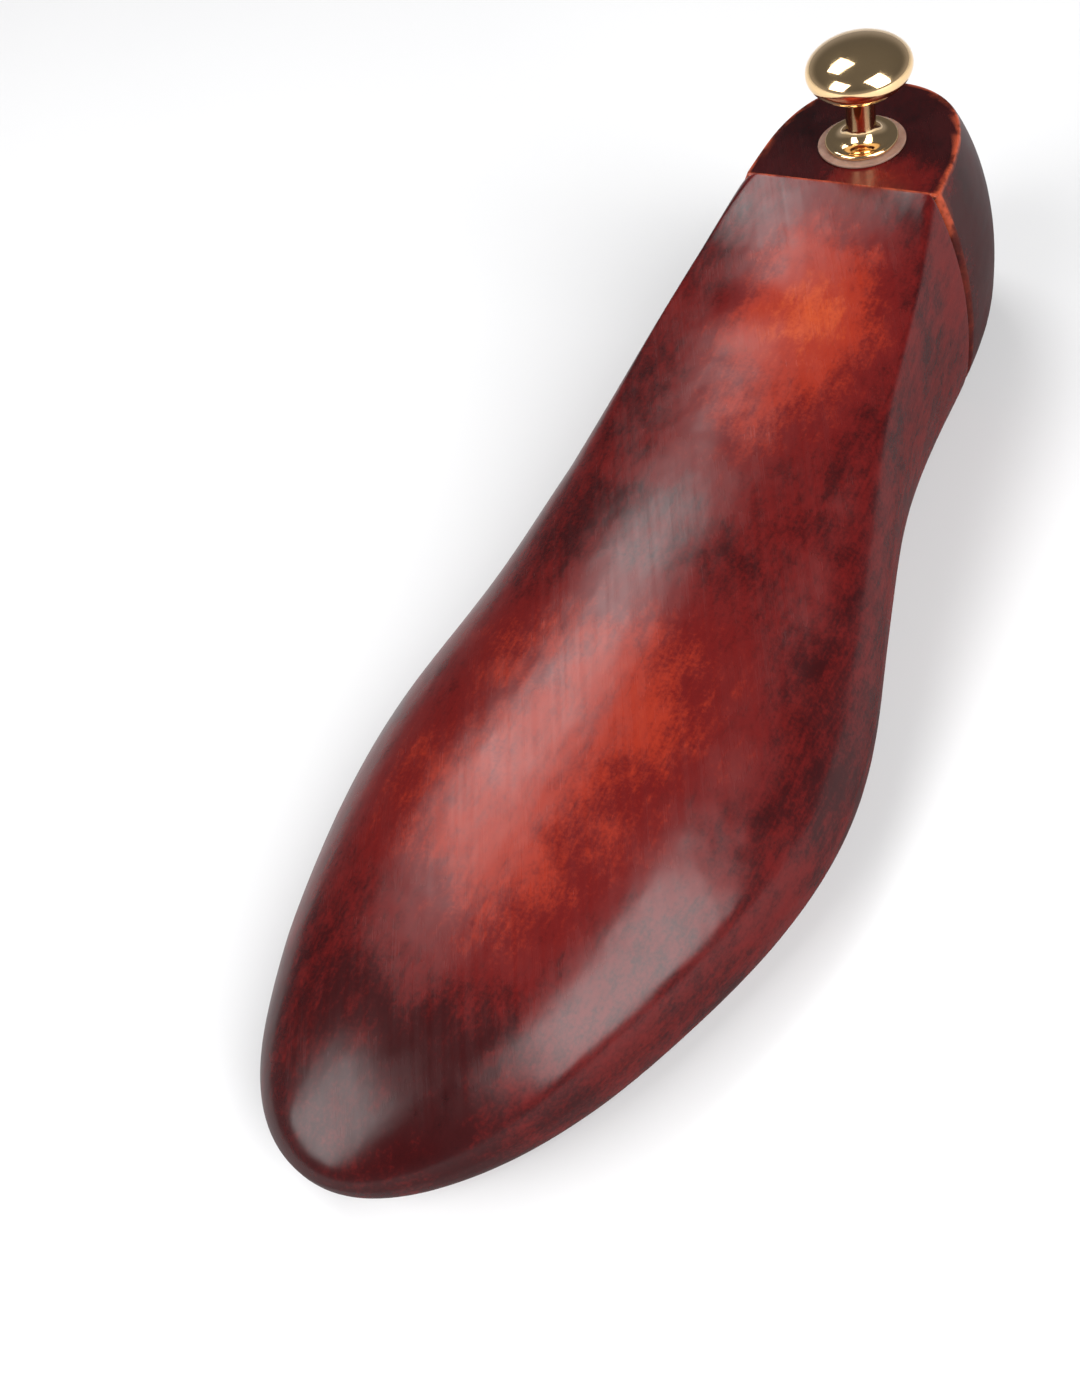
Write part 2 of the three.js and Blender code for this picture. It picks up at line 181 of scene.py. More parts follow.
crest = profile(CREST)
crest_line = profile(CREST_LINE)
widest_height = profile(WIDEST_HEIGHT)
lower_width_power = profile(LOWER_WIDTH_POWER)
lower_depth_power = profile(LOWER_DEPTH_POWER)
upper_width_power = profile(UPPER_WIDTH_POWER)
upper_depth_power = profile(UPPER_DEPTH_POWER)


def rim_points():
    """The plan outline as a dense, evenly spaced, smoothed loop."""
    p1 = np.array(OUTLINE, float)[:, None, :]
    p0, p2, p3 = np.roll(p1, 1, 0), np.roll(p1, -1, 0), np.roll(p1, -2, 0)
    t = np.linspace(0, 1, SPLINE_STEPS, endpoint=False)[None, :, None]
    loop = 0.5 * (2 * p1 + (p2 - p0) * t + (2 * p0 - 5 * p1 + 4 * p2 - p3) * t ** 2
                  + (3 * p1 - p0 - 3 * p2 + p3) * t ** 3)
    loop = loop.reshape(-1, 2)
    closed = np.vstack([loop, loop[:1]])
    run = np.r_[0, np.cumsum(np.linalg.norm(np.diff(closed, axis=0), axis=1))]
    even = np.linspace(0, run[-1], RIM_COUNT, endpoint=False)
    x = np.interp(even, run, closed[:, 0])
    y = np.interp(even, run, closed[:, 1])
    width = CURVE_BLUR / (run[-1] / RIM_COUNT)
    return np.c_[blurred(x, width, wrap=True), blurred(y, width, wrap=True)]


RIM = rim_points()


def rim_at(x, side):
    """Width of the rim at stations x, on the outer (+1) or inner (-1) side."""
    half = RIM[RIM[:, 1] * side > 0]
    half = half[np.argsort(half[:, 0])]
    return np.interp(x, half[:, 0], half[:, 1])


def rim_towards(centre_x, angles):
    """Rim points in the given directions from one end of the spine."""
    arm = RIM - [centre_x, 0]
    heading = np.arctan2(arm[:, 1], arm[:, 0])
    order = np.argsort(heading)
    wrapped = np.mod(angles + np.pi, 2 * np.pi) - np.pi
    reach = np.interp(wrapped, heading[order], np.linalg.norm(arm, axis=1)[order], period=2 * np.pi)
    return np.c_[centre_x + reach * np.cos(angles), reach * np.sin(angles)]


def smooth_min(a, b, k):
    """The lower of a and b, with the crossing rounded over a height of k."""
    h = np.clip(0.5 + 0.5 * (b - a) / k, 0, 1)
    return b * (1 - h) + a * h - k * h * (1 - h)


def sole_height(x, y):
    """Height of the sole: the arch, and the rise towards the toe."""
    along = np.clip((x - ARCH_START) / (ARCH_END - ARCH_START), 0, 1)
    arch = ARCH_RISE * np.sin(np.pi * along) ** 2 * (1 - ARCH_TILT * y / HALF_HEEL)
    past = np.clip(x - BALL_X, 0, None) / TOE_LENGTH
    return arch + TOE_RISE * past ** TOE_POWER - SOLE_STOCK


def facet_height(x, y):
    """Height of the facet, highest at the joint."""
    along = np.clip(x - JOINT_X, 0, None)
    crown = y ** 2 / RIDGE_CROWN * np.clip(along / CROWN_START, 0, 1)
    return RIDGE_Z - RIDGE_SLOPE * along + RIDGE_EASE * along ** 2 - crown


def facet_edge(x, y):
    """How far the facet's edge is rounded: soft on the inner side and at the ridge's corners."""
    near_ridge = np.exp(-np.clip(x - FRONT_FACE, 0, None) / CORNER_REACH)
    inner = np.clip(-y / EDGE_AT, 0, 1)
    outer = np.clip(y / EDGE_AT, 0, 1)
    run_out = np.clip((x - RUN_OUT_START) / RUN_OUT_LENGTH, 0, 1) ** 2
    sides = inner * (INNER_EASE + INNER_CORNER_EASE * near_ridge) + outer * OUTER_EASE * (1 - near_ridge)
    return FACET_EASE + CORNER_EASE * near_ridge + sides + RUN_OUT_EASE * run_out


# ---- the last, rib by rib ----

SOLE_EASE = 0.35  # rounding where the sides meet the flat of the sole
HEEL_TOP_EASE = 0.7
RIB_SAMPLES = 500
LOWER_ROWS = 26
UPPER_ROWS = 54
TURN_WEIGHT = 9.0  # millimetres of rib that one radian of turning counts for
FACE_EASE_TOP = 0.55  # rounding of the joint face's edge, at the top and at the sides
FACE_EASE_SIDE = 1.9
FACE_STEPS = 9
STATION_SPACING = 1.3  # between sections, away from the joint face
FAN_RIBS = 84  # ribs round the end of the spine
MERGE_DISTANCE = 2e-6  # metres
DEGENERATE_LENGTH = 1e-7


def even_rows(points, rows):
    """A rib's points respaced, closer together where the rib turns."""
    step = np.diff(points, axis=0)
    length = np.linalg.norm(step, axis=1)
    heading = step / np.maximum(length, NOT_ZERO)[:, None]
    turn = np.arccos(np.clip((heading[1:] * heading[:-1]).sum(1), -1, 1))
    weight = length + TURN_WEIGHT * np.r_[turn, 0]
    run = np.r_[0, np.cumsum(weight)]
    wanted = np.linspace(0, run[-1], rows + 1)
    return np.stack([np.interp(wanted, run, points[:, k]) for k in range(3)], axis=1)


def rib(foot, rim, block):
    """One rib's points, from the sole's centre line over the rim to the crest."""
    t = np.linspace(0, 1, RIB_SAMPLES)
    angle = t * t * (3 - 2 * t) * np.pi / 2
    sine, cosine = np.sin(angle), np.clip(np.cos(angle), 0, 1)
    rim_z = widest_height(rim[0])

    out = sine ** (2 / lower_width_power(foot))
    down = cosine ** (2 / lower_depth_power(foot))
    x, y = foot + out * (rim[0] - foot), out * rim[1]
    z = rim_z - (rim_z - sole_height(x, y)) * down
    z = -smooth_min(-z, 0 * z, SOLE_EASE)
    lower = even_rows(np.c_[x, y, z], LOWER_ROWS)

    out = cosine ** (2 / upper_width_power(foot))
    up = sine ** (2 / upper_depth_power(foot))
    x = foot + out * (rim[0] - foot)
    y = crest_line(foot) * (1 - out) + out * rim[1]
    z = rim_z + (crest(x) - rim_z) * up
    if block == "heel":
        z = smooth_min(z, HEEL_TOP + 0 * z, HEEL_TOP_EASE)
    else:
        z = smooth_min(z, facet_height(x, y), facet_edge(x, y))
    upper = even_rows(np.c_[x, y, z], UPPER_ROWS)
    return np.vstack([lower[:-1], upper])


def section(x, block):
    """The closed loop of the last's section at station x."""
    outer = rib(x, (x, float(rim_at(x, 1))), block)
    inner = rib(x, (x, float(rim_at(x, -1))), block)
    return np.vstack([outer, inner[-2:0:-1]])


def inset(loop, depth_from_face):
    """A section near the joint face drawn in, so that the face's edge is rounded."""
    ahead, behind = np.roll(loop, -1, 0), np.roll(loop, 1, 0)
    tangent = (ahead - behind)[:, 1:]
    tangent /= np.maximum(np.linalg.norm(tangent, axis=1), NOT_ZERO)[:, None]
    normal = np.c_[tangent[:, 1], -tangent[:, 0]]
    centre = loop[:, 1:].mean(0)
    if ((loop[:, 1:] - centre) * normal).sum() < 0:
        normal = -normal
    sideways = normal[:, 0] ** 2
    radius = FACE_EASE_TOP + (FACE_EASE_SIDE - FACE_EASE_TOP) * sideways
    short = np.clip(radius - depth_from_face, 0, None)
    draw = radius - np.sqrt(np.clip(radius ** 2 - short ** 2, 0, None))
    moved = loop.copy()
    moved[:, 1:] -= normal * draw[:, None]
    return moved


def block_stations(face, end, sign):
    """Stations from the joint face to the end of the spine, close together at the face."""
    rounding = FACE_EASE_SIDE * (1 - np.cos(np.linspace(0, np.pi / 2, FACE_STEPS)))
    start = face + sign * FACE_EASE_SIDE
    count = int(abs(end - start) / STATION_SPACING)
    return np.r_[face + sign * rounding[:-1], np.linspace(start, end, count)]


# ---- mesh helpers ----

def skin(mesh, rows, closed):
    """Faces between neighbouring rows of vertices; closed rows run round to their start."""
    for row, ahead in zip(rows, rows[1:]):
        for i in range(len(row) if closed else len(row) - 1):
            j = (i + 1) % len(row)
            mesh.faces.new((row[i], row[j], ahead[j], ahead[i]))


def shade_smooth(mesh):
    """Turns every face outwards and shades it smooth."""
    bmesh.ops.recalc_face_normals(mesh, faces=mesh.faces)
    for face in mesh.faces:
        face.smooth = True


def new_object(name, data):
    """An object in the scene: a mesh, a lamp or a camera."""
    made = bpy.data.objects.new(name, data)
    bpy.context.scene.collection.objects.link(made)
    return made


def finish_mesh(name, mesh):
    """Makes an object of a bmesh."""
    data = bpy.data.meshes.new(name)
    mesh.to_mesh(data)
    mesh.free()
    return new_object(name, data)


def wood_block(name, block):
    """A wooden block: sections from its joint face, then a fan of ribs round its end."""
    face, end, sign = (BACK_FACE, SPINE_BACK, -1) if block == "heel" else (FRONT_FACE, SPINE_FRONT, 1)
    loops = [inset(section(x, block), abs(x - face)) for x in block_stations(face, end, sign)]
    angles = np.pi / 2 - sign * np.pi * np.arange(FAN_RIBS + 1) / FAN_RIBS
    fan = [rib(end, rim, block) for rim in rim_towards(end, angles)]

    mesh = bmesh.new()
    rings = [[mesh.verts.new(p * MM) for p in loop] for loop in loops]
    skin(mesh, rings, closed=True)
    columns = [[mesh.verts.new(p * MM) for p in column] for column in fan]
    skin(mesh, columns, closed=False)
    joint_face = mesh.faces.new(rings[0])
    bmesh.ops.remove_doubles(mesh, verts=mesh.verts, dist=MERGE_DISTANCE)
    bmesh.ops.dissolve_degenerate(mesh, edges=mesh.edges, dist=DEGENERATE_LENGTH)
    shade_smooth(mesh)
    joint_face.smooth = False
    return finish_mesh(name, mesh)


# ---- turned pieces ----

AXES = {
    "x": Matrix.Rotation(math.pi / 2, 4, "Y"),
    "z": Matrix.Identity(4),
}
ROUND_SHARE = 0.4  # largest share of a side that the round at its end takes


def eased(points, size, closed):
    """A profile with its corners cut to small rounds; points are (radius, height)."""
    result = []
    count = len(points)
    for i, here in enumerate(points):
        here = np.array(here, float)
        at_end = not closed and i in (0, count - 1)
        before = np.array(points[i - 1], float)
        after = np.array(points[(i + 1) % count], float)
        if at_end or here[0] < ON_AXIS:
            result.append(tuple(here))
            continue
        back, ahead = before - here, after - here
        reach = min(size, ROUND_SHARE * np.linalg.norm(back), ROUND_SHARE * np.linalg.norm(ahead))
        start = here + back / np.linalg.norm(back) * reach
        end = here + ahead / np.linalg.norm(ahead) * reach
        for t in (0, 0.25, 0.5, 0.75, 1):
            result.append(tuple(start * (1 - t) ** 2 + 2 * here * t * (1 - t) + end * t ** 2))
    return result


def turned(name, points, place, axis="x", closed=False, ease=0.15, segments=64):
    """A turned piece. Points are (radius, distance along the axis) in millimetres."""
    outline = eased(points, ease, closed) if ease else points
    mesh = bmesh.new()
    rings = []
    for radius, height in outline:
        if radius < ON_AXIS:
            rings.append([mesh.verts.new((0, 0, height * MM))])
            continue
        circle = []
        for k in range(segments):
            angle = 2 * math.pi * k / segments
            point = (radius * math.cos(angle) * MM, radius * math.sin(angle) * MM, height * MM)
            circle.append(mesh.verts.new(point))
        rings.append(circle)
    pairs = list(zip(rings, rings[1:]))
    if closed:
        pairs.append((rings[-1], rings[0]))
    for low, high in pairs:
        for k in range(segments):
            n = (k + 1) % segments
            corners = [low[k % len(low)], low[n % len(low)], high[n % len(high)], high[k % len(high)]]
            corners = list(dict.fromkeys(corners))
            if len(corners) > 2:
                mesh.faces.new(corners)
    shade_smooth(mesh)
    mesh.transform(Matrix.Translation(Vector(place) * MM) @ AXES[axis])
    piece = finish_mesh(name, mesh)
    piece.data.set_sharp_from_angle(angle=SHARP_ANGLE)
    return piece


def cut(piece, tools):
    """Cuts the tools out of a piece and removes them."""
    for tool in tools:
        change = piece.modifiers.new(tool.name, "BOOLEAN")
        change.operation = "DIFFERENCE"
        change.solver = "MANIFOLD"
        change.object = tool
    graph = bpy.context.evaluated_depsgraph_get()
    data = bpy.data.meshes.new_from_object(piece.evaluated_get(graph))
    piece.modifiers.clear()
    data.materials.clear()
    piece.data = data
    for tool in tools:
        bpy.data.objects.remove(tool)


# ---- sizes of the slide units ----

CLEAR = 0.15  # clearance on a radius or at an end
TUBE_WALL = 0.6
FERRULE_WALL = 1.4
COLLAR_WALL = 2.0
FLANGE_THICKNESS = 1.2
PIN_ROOM = 1.0  # how far a pin's hole runs on above the pin
PAST = 4.0  # how far a cutting tool runs past the face it cuts
TUBE_LOW, TUBE_HIGH = box_mm("sleeve_tube_left")
FERRULE_LOW, FERRULE_HIGH = box_mm("mouth_ferrule_left")
ROD_LOW, ROD_HIGH = box_mm("plunger_rod_left")
COLLAR_LOW, COLLAR_HIGH = box_mm("rod_collar_left")
PIN_LOW, PIN_HIGH = box_mm("cross_pin_left")
INSERT_LOW, INSERT_HIGH = box_mm("knob_insert")
ROD_Z = (TUBE_LOW[2] + TUBE_HIGH[2]) / 2
TUBE_RADIUS = (TUBE_HIGH[2] - TUBE_LOW[2]) / 2
TUBE_BORE = TUBE_RADIUS - TUBE_WALL
ROD_RADIUS = (ROD_HIGH[2] - ROD_LOW[2]) / 2
FLANGE_RADIUS = (FERRULE_HIGH[2] - FERRULE_LOW[2]) / 2
FERRULE_BARREL = TUBE_RADIUS + FERRULE_WALL
FERRULE_LENGTH = FERRULE_HIGH[0] - FERRULE_LOW[0]
COLLAR_BARREL = ROD_RADIUS + COLLAR_WALL
COLLAR_LENGTH = COLLAR_HIGH[0] - COLLAR_LOW[0]
PIN_RADIUS = (PIN_HIGH[0] - PIN_LOW[0]) / 2
PIN_X = (PIN_HIGH[0] + PIN_LOW[0]) / 2
INSERT_RADIUS = (INSERT_HIGH[0] - INSERT_LOW[0]) / 2


def middle_y(cad_node):
    low, high = box_mm(cad_node)
    return (low[1] + high[1]) / 2


ROD_Y = {side: middle_y(f"plunger_rod_{side}") for side in SIDES}


def rod_line(side):
    """Where the axis of a side's rod crosses x = 0."""
    return (0, ROD_Y[side], ROD_Z)


def plain_rod(radius, low, high):
    """Half section of a plain rod from low to high."""
    return [(0, low), (radius, low), (radius, high), (0, high)]


def stepped_bore(face, sign, steps, side):
    """A cutting tool along x: steps are (radius, depth), widest first."""
    points = [(0, face - sign * PAST), (steps[0][0] + CLEAR, face - sign * PAST)]
    for i, (radius, depth) in enumerate(steps):
        points.append((radius + CLEAR, face + sign * (depth + CLEAR)))
        if i + 1 < len(steps):
            points.append((steps[i + 1][0] + CLEAR, face + sign * (depth + CLEAR)))
    points.append((0, face + sign * (steps[-1][1] + CLEAR)))
    return turned("tool", points, rod_line(side), ease=0)


def bore_forepart(block):
    """Cuts the seats of the tubes and their ferrules."""
    steps = [(FLANGE_RADIUS, FLANGE_THICKNESS), (FERRULE_BARREL, FERRULE_LENGTH),
             (TUBE_RADIUS, TUBE_HIGH[0] - FRONT_FACE)]
    for side in SIDES:
        cut(block, [stepped_bore(FRONT_FACE, 1, steps, side)])


def bore_heel(block):
    """Cuts the seats of the rods with their collars and pins, and of the knob's insert."""
    steps = [(FLANGE_RADIUS, FLANGE_THICKNESS), (COLLAR_BARREL, COLLAR_LENGTH),
             (ROD_RADIUS, BACK_FACE - ROD_LOW[0])]
    pin_hole = plain_rod(PIN_RADIUS + CLEAR, -PAST, PIN_HIGH[2] + PIN_ROOM)
    for side in SIDES:
        cut(block, [
            stepped_bore(BACK_FACE, -1, steps, side),
            turned("tool", pin_hole, (PIN_X, ROD_Y[side], 0), axis="z", ease=0),
        ])
    seat = plain_rod(INSERT_RADIUS + CLEAR, INSERT_LOW[2] - CLEAR, HEEL_TOP + PAST)
    cut(block, [turned("tool", seat, (0, 0, 0), axis="z", ease=0)])


# ---- material helpers ----

def new_material(name):
    """A material with its node tree and its surface shader."""
    material = bpy.data.materials.new(name)
    material.use_nodes = True
    tree = material.node_tree
    return material, tree, tree.nodes["Principled BSDF"]


def node(tree, kind, inputs=None, **settings):
    """A shader node with its settings made and its inputs fed by values or by other sockets."""
    made = tree.nodes.new(kind)
    for key, value in settings.items():
        setattr(made, key, value)
    for key, value in (inputs or {}).items():
        if isinstance(value, bpy.types.NodeSocket):
            tree.links.new(value, made.inputs[key])
        else:
            made.inputs[key].default_value = value
    return made


def feed(tree, surface, **inputs):
    """Sets or links the surface shader's inputs; an underscore stands for a space in a name."""
    for key, value in inputs.items():
        socket = surface.inputs[key.replace("_", " ")]
        if isinstance(value, bpy.types.NodeSocket):
            tree.links.new(value, socket)
        else:
            socket.default_value = value


def place_mm(tree, scale=(1, 1, 1), turn=(0, 0, 0)):
    """Position on the object in millimetres, turned and scaled for a texture."""
    here = node(tree, "ShaderNodeTexCoord").outputs["Object"]
    rotate = {"Vector": here, "Rotation": turn}
    rotated = node(tree, "ShaderNodeVectorRotate", rotate, rotation_type="EULER_XYZ").outputs[0]
    factor = [MM_PER_M * s for s in scale]
    return vector_maths(tree, "MULTIPLY", rotated, factor)


def vector_maths(tree, operation, a, b):
    return node(tree, "ShaderNodeVectorMath", {0: a, 1: b}, operation=operation).outputs[0]


def vector_length(tree, vector):
    return node(tree, "ShaderNodeVectorMath", {0: vector}, operation="LENGTH").outputs["Value"]


def upward_part(tree, vector):
    return node(tree, "ShaderNodeSeparateXYZ", {0: vector}).outputs["Z"]


def noise(tree, vector, scale=1.0, detail=3.0, roughness=0.5, distortion=0.0):
    made = node(tree, "ShaderNodeTexNoise", {
        "Vector": vector, "Scale": scale, "Detail": detail, "Roughness": roughness,
        "Distortion": distortion})
    return made.outputs["Fac"]


def mapped(tree, value, low, high, to_low=0.0, to_high=1.0, kind="SMOOTHSTEP"):
    """A value that goes from to_low to to_high as another goes from low to high."""
    made = node(tree, "ShaderNodeMapRange", {
        "Value": value, "From Min": low, "From Max": high, "To Min": to_low, "To Max": to_high},
        interpolation_type=kind)
    return made.outputs[0]


def maths(tree, operation, a, b=0.0, clamp=False):
    return node(tree, "ShaderNodeMath", {0: a, 1: b}, operation=operation, use_clamp=clamp).outputs[0]


def mixed(tree, factor, a, b):
    """A colour that goes from a to b as factor goes from 0 to 1."""
    made = node(tree, "ShaderNodeMix", data_type="RGBA")
    for socket, value in ((made.inputs[0], factor), (made.inputs[6], a), (made.inputs[7], b)):
        if isinstance(value, bpy.types.NodeSocket):
            tree.links.new(value, socket)
        else:
            socket.default_value = (*value, 1) if isinstance(value, tuple) else value
    return made.outputs[2]


def ramp(tree, value, stops):
    """A colour that follows value through (value, colour) stops."""
    made = node(tree, "ShaderNodeValToRGB", {"Fac": value})
    band = made.color_ramp
    band.interpolation = "EASE"
    while len(band.elements) < len(stops):
        band.elements.new(0.5)
    for element, (position, colour) in zip(band.elements, stops):
        element.position = position
        element.color = (*colour, 1)
    return made.outputs["Color"]


GLOW_CORE = 0.15  # share of a patch's radius that is at full strength


def glow(tree, centre, radius):
    """1 in the middle of an egg-shaped patch, fading to 0 at its rim; sizes in millimetres."""
    away = vector_maths(tree, "SUBTRACT", place_mm(tree), centre)
    share = vector_length(tree, vector_maths(tree, "DIVIDE", away, radius))
    return mapped(tree, share, GLOW_CORE, 1.0, 1.0, 0.0)


def bump(tree, height, strength, distance=0.0002, normal=None):
    inputs = {"Height": height, "Strength": strength, "Distance": distance}
    if normal is not None:
        inputs["Normal"] = normal
    return node(tree, "ShaderNodeBump", inputs).outputs[0]


# ---- wood ----

STAIN = [
    (0.0, (0.006, 0.0012, 0.0014)),
    (0.25, (0.028, 0.0024, 0.0028)),
    (0.45, (0.100, 0.0055, 0.0050)),
    (0.65, (0.240, 0.0190, 0.0080)),
    (0.82, (0.370, 0.0500, 0.0140)),
    (1.0, (0.470, 0.1050, 0.0330)),
]
WORN_EDGE = (0.37, 0.062, 0.026)
FLECK = (0.035, 0.004, 0.004)
BRUSH_TURN = (0, 0, math.radians(-27))

PITH = (0, 46, -38)  # centre of the growth rings, below and beside the blocks
RING_WOBBLE = 9.0  # millimetres
RING_RATE = 2.6  # radians of the rings' wave in a millimetre
END_GRAIN = [
    (0.0, (0.15, 0.030, 0.015)),
    (0.7, (0.19, 0.043, 0.021)),
    (1.0, (0.10, 0.018, 0.010)),
]
END_PORE = (0.05, 0.010, 0.007)


def varied(tree, tone, value, low, high, change, clamp=False):
    """A tone lowered or raised by up to change as value goes from low to high."""
    shift = mapped(tree, value, low, high, -change, change, "LINEAR")
    return maths(tree, "ADD", tone, shift, clamp)


def stain_tone(tree, base_tone, patches, clouds):
    """How light the stain is, from almost black at 0 to orange at 1; on the heel block its patches also
    add painted sheen and painted shade.
    """
    wash = noise(tree, place_mm(tree), 0.035, 2, 0.5, 0.4)
    tone = varied(tree, base_tone, wash, 0.25, 0.75, 0.07)
    for centre, radius, change in patches:
        tone = maths(tree, "ADD", tone, maths(tree, "MULTIPLY", glow(tree, centre, radius), change))
    tone = varied(tree, tone, clouds, 0.2, 0.8, 0.06)
    dabs = noise(tree, place_mm(tree, (0.6, 1, 1)), 0.36, 3, 0.5, 0.2)
    tone = varied(tree, tone, dabs, 0.25, 0.75, 0.055)
    grain = noise(tree, place_mm(tree, (0.06, 1, 1)), 1.1, 3, 0.6)
    tone = varied(tree, tone, grain, 0.3, 0.7, 0.03, clamp=True)
    stipple = noise(tree, place_mm(tree), 1.3, 2, 0.6)
    return varied(tree, tone, stipple, 0.25, 0.75, 0.05, clamp=True)


def broken_wear(tree):
    """The wear written on the mesh, broken up so that it isn't an even line."""
    wear = node(tree, "ShaderNodeAttribute", attribute_name="wear").outputs["Fac"]
    broken = noise(tree, place_mm(tree, (0.5, 0.5, 0.5)), 0.5, 3, 0.6)
    return maths(tree, "MULTIPLY", wear, mapped(tree, broken, 0.35, 0.6, 0.15, 1.0), clamp=True)


def polish_roughness(tree, upward, clouds):
    """Cloudy all over, with brush strokes on the top."""
    brush = noise(tree, place_mm(tree, (0.02, 0.8, 0.02), BRUSH_TURN), 1.0, 3, 0.6)
    on_top = mapped(tree, upward, 0.75, 0.95)
    strokes = maths(tree, "MULTIPLY", mapped(tree, brush, 0.2, 0.8, 0.0, 0.08), on_top)
    return maths(tree, "ADD", strokes, mapped(tree, clouds, 0.3, 0.7, 0.17, 0.25))


def polish_strength(tree, upward, dull_patches):
    """Strongest on the top, weaker on the sides and in the dull patches."""
    polish = mapped(tree, upward, 0.1, 0.8, 0.18, 0.62)
    for centre, radius, loss in dull_patches:
        lost = maths(tree, "MULTIPLY", glow(tree, centre, radius), loss)
        polish = maths(tree, "MULTIPLY", polish, maths(tree, "SUBTRACT", 1.0, lost))
    return polish


def stained_wood(name, base_tone, patches, dull_patches=()):
    """Hand-stained, polished beech."""
    material, tree, surface = new_material(name)
    clouds = noise(tree, place_mm(tree), 0.09, 2, 0.5, 0.3)
    colour = ramp(tree, stain_tone(tree, base_tone, patches, clouds), STAIN)
    flecks = noise(tree, place_mm(tree, (0.16, 1.5, 1.5)), 1.0, 1, 0.4)
    colour = mixed(tree, mapped(tree, flecks, 0.66, 0.80, 0.0, 0.25), colour, FLECK)
    colour = mixed(tree, broken_wear(tree), colour, WORN_EDGE)

    upward = upward_part(tree, node(tree, "ShaderNodeNewGeometry").outputs["Normal"])
    waves = noise(tree, place_mm(tree, (0.6, 1, 1)), 0.10, 2, 0.5)
    relief = bump(tree, waves, 0.35, 0.0006)
    pores = noise(tree, place_mm(tree, (0.25, 2.2, 2.2)), 1.0, 2, 0.5)
    feed(tree, surface, Base_Color=colour, Roughness=0.5, Specular_IOR_Level=0.0,
         Normal=bump(tree, pores, 0.12, 0.0002, relief), Coat_Normal=relief, Coat_IOR=1.5,
         Coat_Weight=polish_strength(tree, upward, dull_patches),
         Coat_Roughness=polish_roughness(tree, upward, clouds))
    return material


def end_grain_wood(name):
    """Sawn and lightly stained end grain, with growth rings and pores."""
    material, tree, surface = new_material(name)
    here = place_mm(tree)
    across = vector_maths(tree, "MULTIPLY", vector_maths(tree, "SUBTRACT", here, PITH), (0, 1, 1))
    wobble = maths(tree, "MULTIPLY", noise(tree, here, 0.06, 3), RING_WOBBLE)
    radius = maths(tree, "ADD", vector_length(tree, across), wobble)
    rings = maths(tree, "SINE", maths(tree, "MULTIPLY", radius, RING_RATE))
    colour = ramp(tree, mapped(tree, rings, -1, 1, 0, 1, "LINEAR"), END_GRAIN)
    pores = noise(tree, here, 3.2, 2, 0.5)
    colour = mixed(tree, mapped(tree, pores, 0.60, 0.72, 0, 0.55), colour, END_PORE)
    feed(tree, surface, Base_Color=colour, Roughness=mapped(tree, pores, 0.3, 0.7, 0.45, 0.62),
         Normal=bump(tree, pores, 0.3, 0.0002), Coat_Weight=0.15, Coat_Roughness=0.3)
    return material


# ---- metals, leather, nylon ----

TOOL_LINES = {"x": (3.0, 0.02, 0.02), "z": (0.02, 0.02, 3.0), None: (1, 1, 1)}


def metal(name, colour, dark, roughness, lines_along=None, tarnish=0.15):
    """Turned or drawn metal with fine tool lines and a breath of tarnish."""
    material, tree, surface = new_material(name)
    cloud = noise(tree, place_mm(tree), 0.35, 4, 0.6)
    tint = mixed(tree, mapped(tree, cloud, 0.45, 0.8, 0, tarnish), colour, dark)
    lines = noise(tree, place_mm(tree, TOOL_LINES[lines_along]), 1.0, 3, 0.6)
    rough = mapped(tree, cloud, 0.3, 0.75, roughness * 0.8, roughness * 1.7)
    feed(tree, surface, Base_Color=tint, Metallic=1.0, Roughness=rough,
         Normal=bump(tree, lines, 0.05, 0.00003))
    return material


def washer_leather(name):
    """Undyed leather with a fine, dry grain."""
    material, tree, surface = new_material(name)
    cloud = noise(tree, place_mm(tree), 0.5, 4, 0.6)
    fine = noise(tree, place_mm(tree), 5.0, 3, 0.6)
    colour = mixed(tree, mapped(tree, cloud, 0.3, 0.75), (0.29, 0.17, 0.125), (0.20, 0.11, 0.08))
    feed(tree, surface, Base_Color=colour, Roughness=mapped(tree, fine, 0.3, 0.7, 0.55, 0.8),
         Normal=bump(tree, fine, 0.25, 0.0001), Subsurface_Weight=0.15, Subsurface_Scale=0.001)
    return material


def white_nylon(name):
    """Undyed nylon, slightly yellowed."""
    material, tree, surface = new_material(name)
    cloud = noise(tree, place_mm(tree), 0.6, 3, 0.5)
    colour = mixed(tree, mapped(tree, cloud, 0.3, 0.7), (0.76, 0.74, 0.67), (0.69, 0.66, 0.58))
    fine = noise(tree, place_mm(tree), 4.0, 2, 0.5)
    feed(tree, surface, Base_Color=colour, Roughness=mapped(tree, fine, 0.3, 0.7, 0.35, 0.5),
         Normal=bump(tree, fine, 0.06, 0.0001), Subsurface_Weight=0.2, Subsurface_Scale=0.001)
    return material


# Where the stain is lighter or darker, as (centre, radii, change of tone); the heel's patches also hold
# painted light.
FORE_PATCHES = [
    ((43, 5, 50), (27, 24, 40), 0.25),
    ((66, 6, 48), (38, 28, 30), 0.27),
    ((30, -6, 58), (22, 16, 16), 0.08),
    ((166, -2, 40), (62, 46, 34), 0.24),
    ((236, -8, 24), (40, 50, 34), -0.12),
    ((112, 0, 47), (24, 44, 26), -0.03),
]
# On the heel block's top: partly stain, partly painted light, lighter towards the ridge on the outer
# side and darker at the inner back.
HEEL_TONE_AND_PAINTED_LIGHT = [
    # Lighter on the outer side next to the ridge: a stain difference with a painted sheen mixed in.
    ((12, 10, 58), (14, 21, 10), 0.25),
    # Darker at the inner back: a stain difference with painted shade mixed in.
    ((-12, -10, 58), (34, 24, 16), -0.08),
]

# Where the polish is worn duller, as (centre, radii, loss of polish).
DULL_PATCHES = [
    ((51, -5, 56), (11, 24, 30), 0.8),
]

